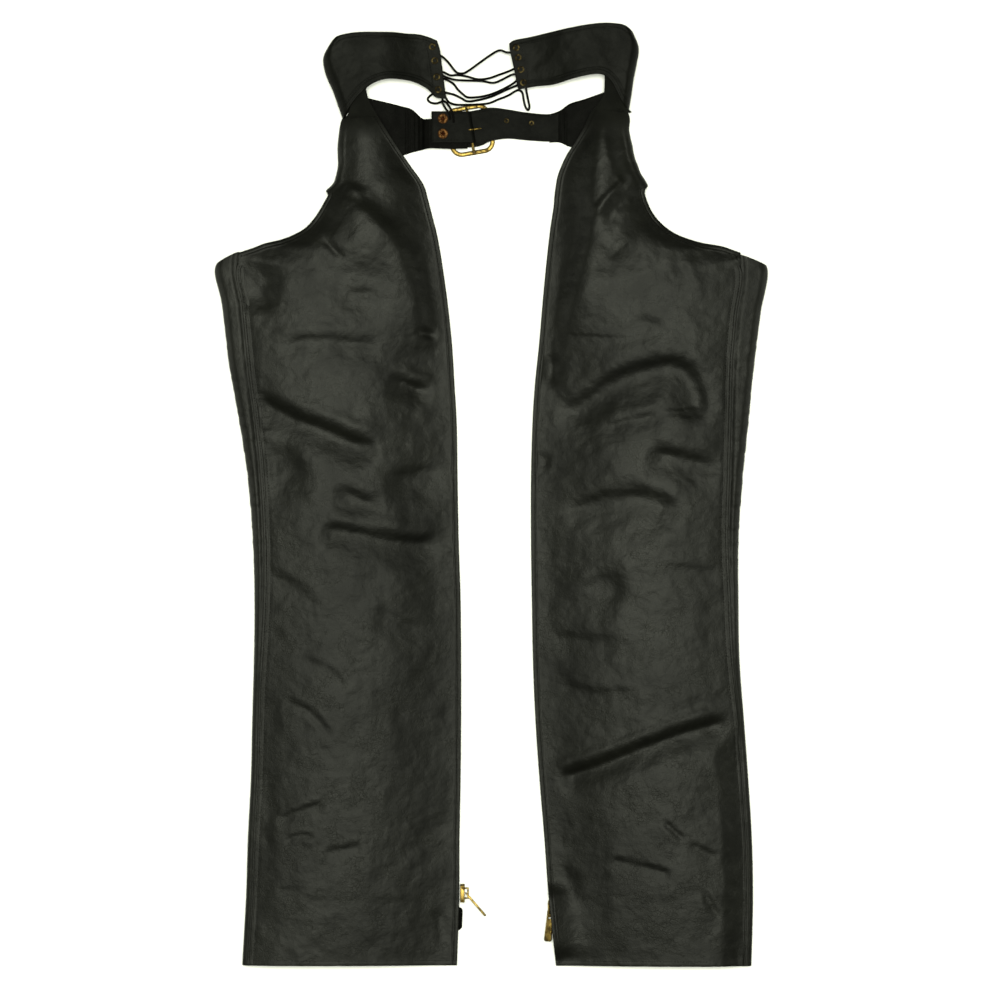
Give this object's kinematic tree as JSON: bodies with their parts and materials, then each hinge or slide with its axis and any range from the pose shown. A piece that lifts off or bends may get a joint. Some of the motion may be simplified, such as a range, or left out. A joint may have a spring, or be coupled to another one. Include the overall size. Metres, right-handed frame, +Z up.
{
  "type": "leather motorcycle chaps",
  "caption": "Black leather riding chaps lying flat: two zipped leg tubes, laced back yokes and a buckled belt, open at waist and hems",
  "frame": {"origin": "centre of the footprint on the floor that the chaps lie on", "axes": "+Y from the hems to the waist, +X across the legs, +Z up from the floor through the laced back"},
  "size_m": [0.6074, 1.0366, 0.0278],
  "materials": {
    "leather": "semi-gloss black grained cowhide, worn soft",
    "leather_inside": "matt flesh side, dyed black",
    "lace": "matt dark brown-black round lace",
    "brass": "worn polished brass",
    "copper": "oxidised copper rivet caps",
    "zip_tape": "woven black zip tape"
  },
  "bodies": {
    "chaps": {"leg_back_left": "leather", "leg_front_left": "leather", "hip_front_left": "leather_inside", "yoke_left": "leather", "lace_eyelet_left_1": "brass", "lace_eyelet_left_2": "brass", "lace_eyelet_left_3": "brass", "lace_eyelet_left_4": "brass", "zip_tape_left": "zip_tape", "zip_teeth_left": "brass", "zip_slider_left": "brass", "leg_back_right": "leather", "leg_front_right": "leather", "hip_front_right": "leather_inside", "yoke_right": "leather", "lace_eyelet_right_1": "brass", "lace_eyelet_right_2": "brass", "lace_eyelet_right_3": "brass", "lace_eyelet_right_4": "brass", "zip_tape_right": "zip_tape", "zip_teeth_right": "brass", "zip_slider_right": "brass", "belt_eyelet_1": "brass", "belt_eyelet_2": "brass", "belt_base_left": "leather_inside", "belt_base_right": "leather_inside", "belt_billet": "leather", "belt_tongue": "leather", "rivet_1": "copper", "rivet_2": "copper", "buckle_frame": "brass", "buckle_prong": "brass", "back_lace": "lace"},
    "left_pull": {"zip_pull_left": "brass"},
    "right_pull": {"zip_pull_right": "brass"}
  },
  "joints": [
    {"name": "left_pull_hinge", "type": "hinge", "parent": "chaps", "child": "left_pull", "pos_m": [-0.02817, -0.43844, 0.005], "axis": [0, 0, 1], "range_deg": [-11, 105]},
    {"name": "right_pull_hinge", "type": "hinge", "parent": "chaps", "child": "right_pull", "pos_m": [0.06445, -0.45836, 0.00905], "axis": [-0.7643, 0, -0.6448], "range_deg": [-4, 80]}
  ]
}
